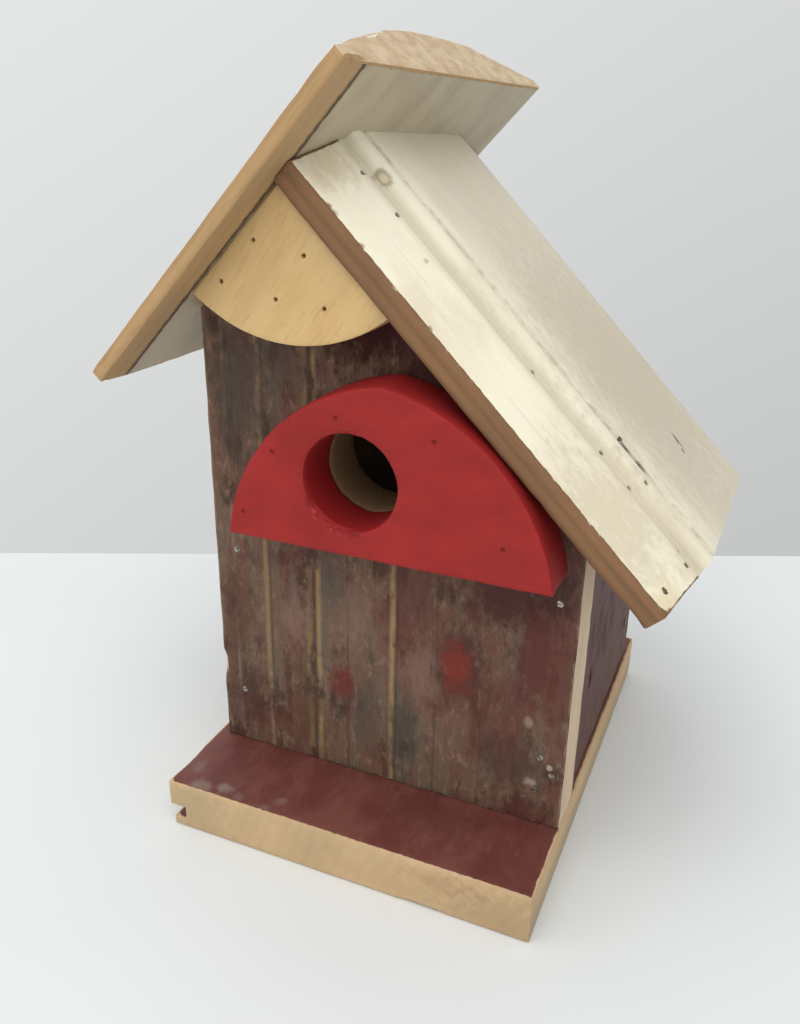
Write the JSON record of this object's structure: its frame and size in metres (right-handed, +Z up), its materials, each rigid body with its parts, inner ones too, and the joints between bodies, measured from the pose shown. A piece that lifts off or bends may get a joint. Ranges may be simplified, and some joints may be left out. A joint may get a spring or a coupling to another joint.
{
  "type": "birdhouse",
  "caption": "Nailed wooden nesting box on a ledged base board, with a steep moulded-board roof, a half-round entrance plaque and a swinging clean-out back.",
  "frame": {"origin": "middle of the base board's underside, where the birdhouse stands", "axes": "+Z up, the entrance looks along -Y, and +X is on the right of somebody who faces the entrance"},
  "size_m": [0.2073, 0.1915, 0.2731],
  "materials": {
    "red_painted_pine": "worn barn-red paint, raw sawn ends",
    "weathered_red_board": "weathered dark red-brown paint worn to grey wood",
    "cream_painted_pine": "old cream gloss paint on the top face, duller paint underneath, bare wood on the sawn edges",
    "bare_pine": "bare planed pine",
    "brick_red_paint": "matt brick-red paint",
    "wire_nails": "dull steel wire, darkened"
  },
  "bodies": {
    "house": {"base_board": "red_painted_pine", "front_panel": "weathered_red_board", "left_side_wall": "weathered_red_board", "right_side_wall": "weathered_red_board", "left_roof_board": "cream_painted_pine", "right_roof_board": "cream_painted_pine", "gable_piece": "bare_pine", "entrance_plaque": "brick_red_paint", "front_panel_nails": "wire_nails", "floor_nails": "wire_nails", "plaque_brads": "wire_nails", "gable_brads": "wire_nails", "left_roof_nails": "wire_nails", "right_roof_nails": "wire_nails", "ridge_nails": "wire_nails", "door_pivot_nails": "wire_nails", "door_lock_nail": "wire_nails"},
    "door": {"clean_out_door": "weathered_red_board"}
  },
  "joints": [
    {"name": "clean_out_hinge", "type": "hinge", "parent": "house", "child": "door", "pos_m": [0, 0.0675, 0.122], "axis": [1, 0, 0], "range_deg": [0, 60]}
  ]
}
